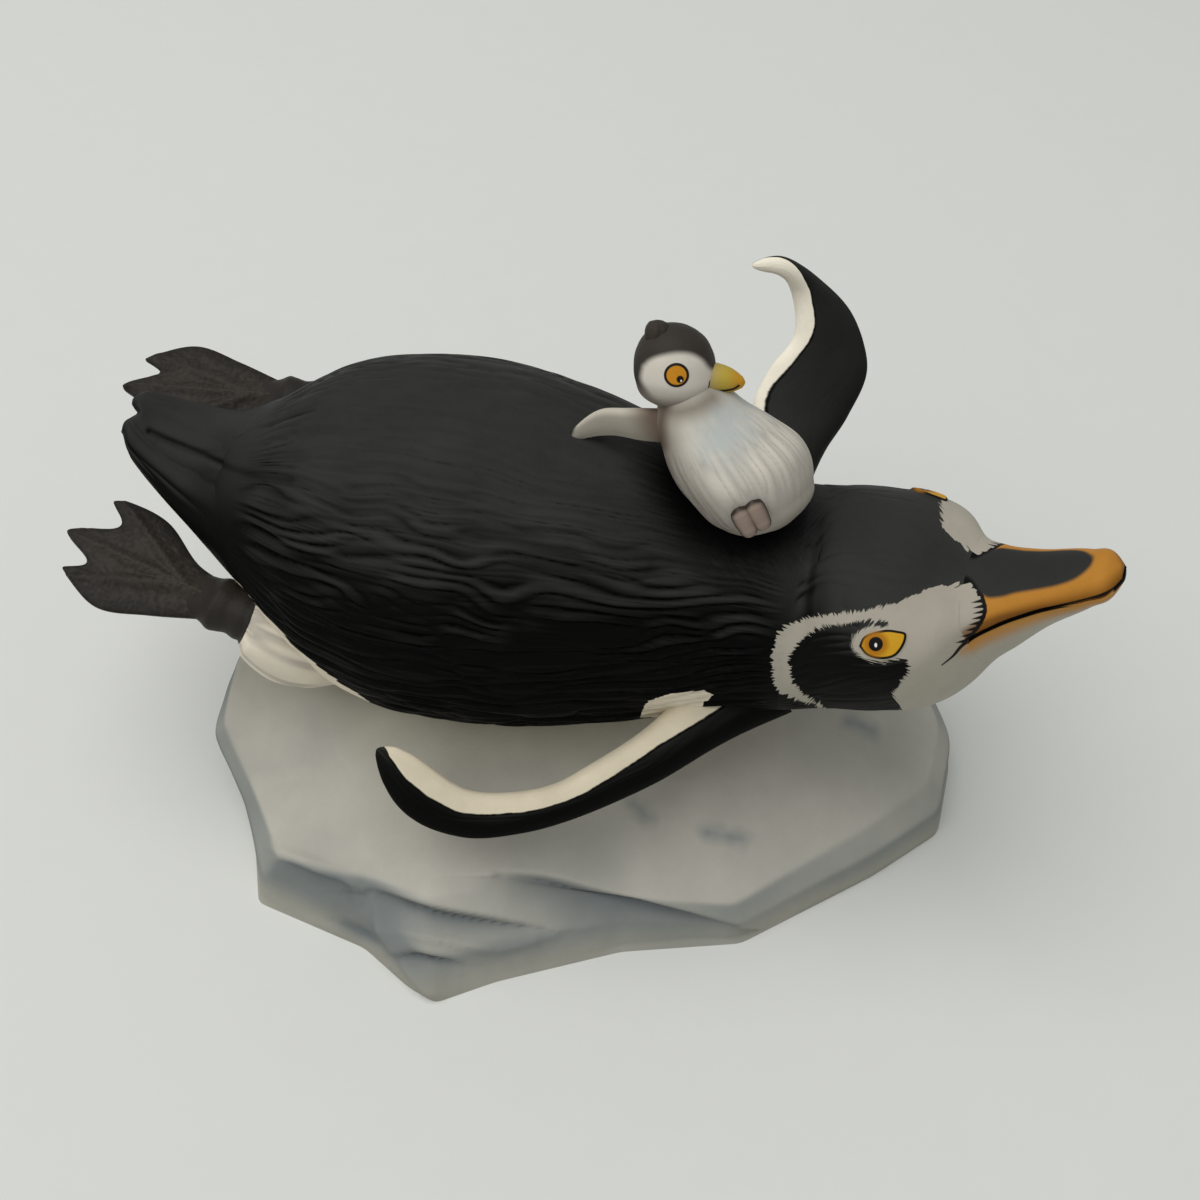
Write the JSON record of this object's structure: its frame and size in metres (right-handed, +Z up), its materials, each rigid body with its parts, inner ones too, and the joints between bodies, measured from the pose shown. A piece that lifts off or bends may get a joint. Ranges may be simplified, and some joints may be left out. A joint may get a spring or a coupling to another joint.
{
  "type": "penguin figurine",
  "caption": "Bisque porcelain ornament: an adult penguin sliding on its belly over an ice floe base, with a chick riding on its back",
  "frame": {"origin": "on the flat underside of the ice floe, below the figure", "axes": "+X to the adult's head end, +Y to the far side of the figure, +Z up, away from the surface it stands on"},
  "size_m": [0.1917, 0.1129, 0.1104],
  "materials": {
    "ice_bisque": "matt bisque, washed with pale blue-grey and cream",
    "adult_plumage": "matt bisque, painted charcoal black with cream-white markings",
    "adult_bill": "matt bisque, painted orange with a charcoal ridge",
    "white_plumage": "matt cream-white bisque with combed feather grooves",
    "adult_foot_skin": "matt bisque, pebbled skin painted dark brown",
    "chick_down": "matt white bisque with soft grey and brown airbrushing",
    "chick_crown": "matt bisque, airbrushed dark brown",
    "chick_bill": "satin bisque, painted yellow-olive",
    "chick_foot_skin": "matt bisque, painted pinkish brown"
  },
  "bodies": {
    "root": {"ice_base": "ice_bisque", "adult_torso": "adult_plumage", "adult_head": "adult_plumage", "adult_upper_bill": "adult_bill", "adult_lower_bill": "adult_bill", "adult_right_flipper": "adult_plumage", "adult_left_flipper": "adult_plumage", "adult_tail": "adult_plumage", "adult_right_thigh": "white_plumage", "adult_left_thigh": "white_plumage", "adult_right_foot": "adult_foot_skin", "adult_left_foot": "adult_foot_skin", "chick_body": "chick_down", "chick_head": "chick_down", "chick_bill": "chick_bill", "chick_crest_tuft": "chick_crown", "chick_right_flipper": "chick_down", "chick_left_flipper": "chick_down", "chick_right_foot": "chick_foot_skin", "chick_left_foot": "chick_foot_skin"}
  },
  "joints": []
}
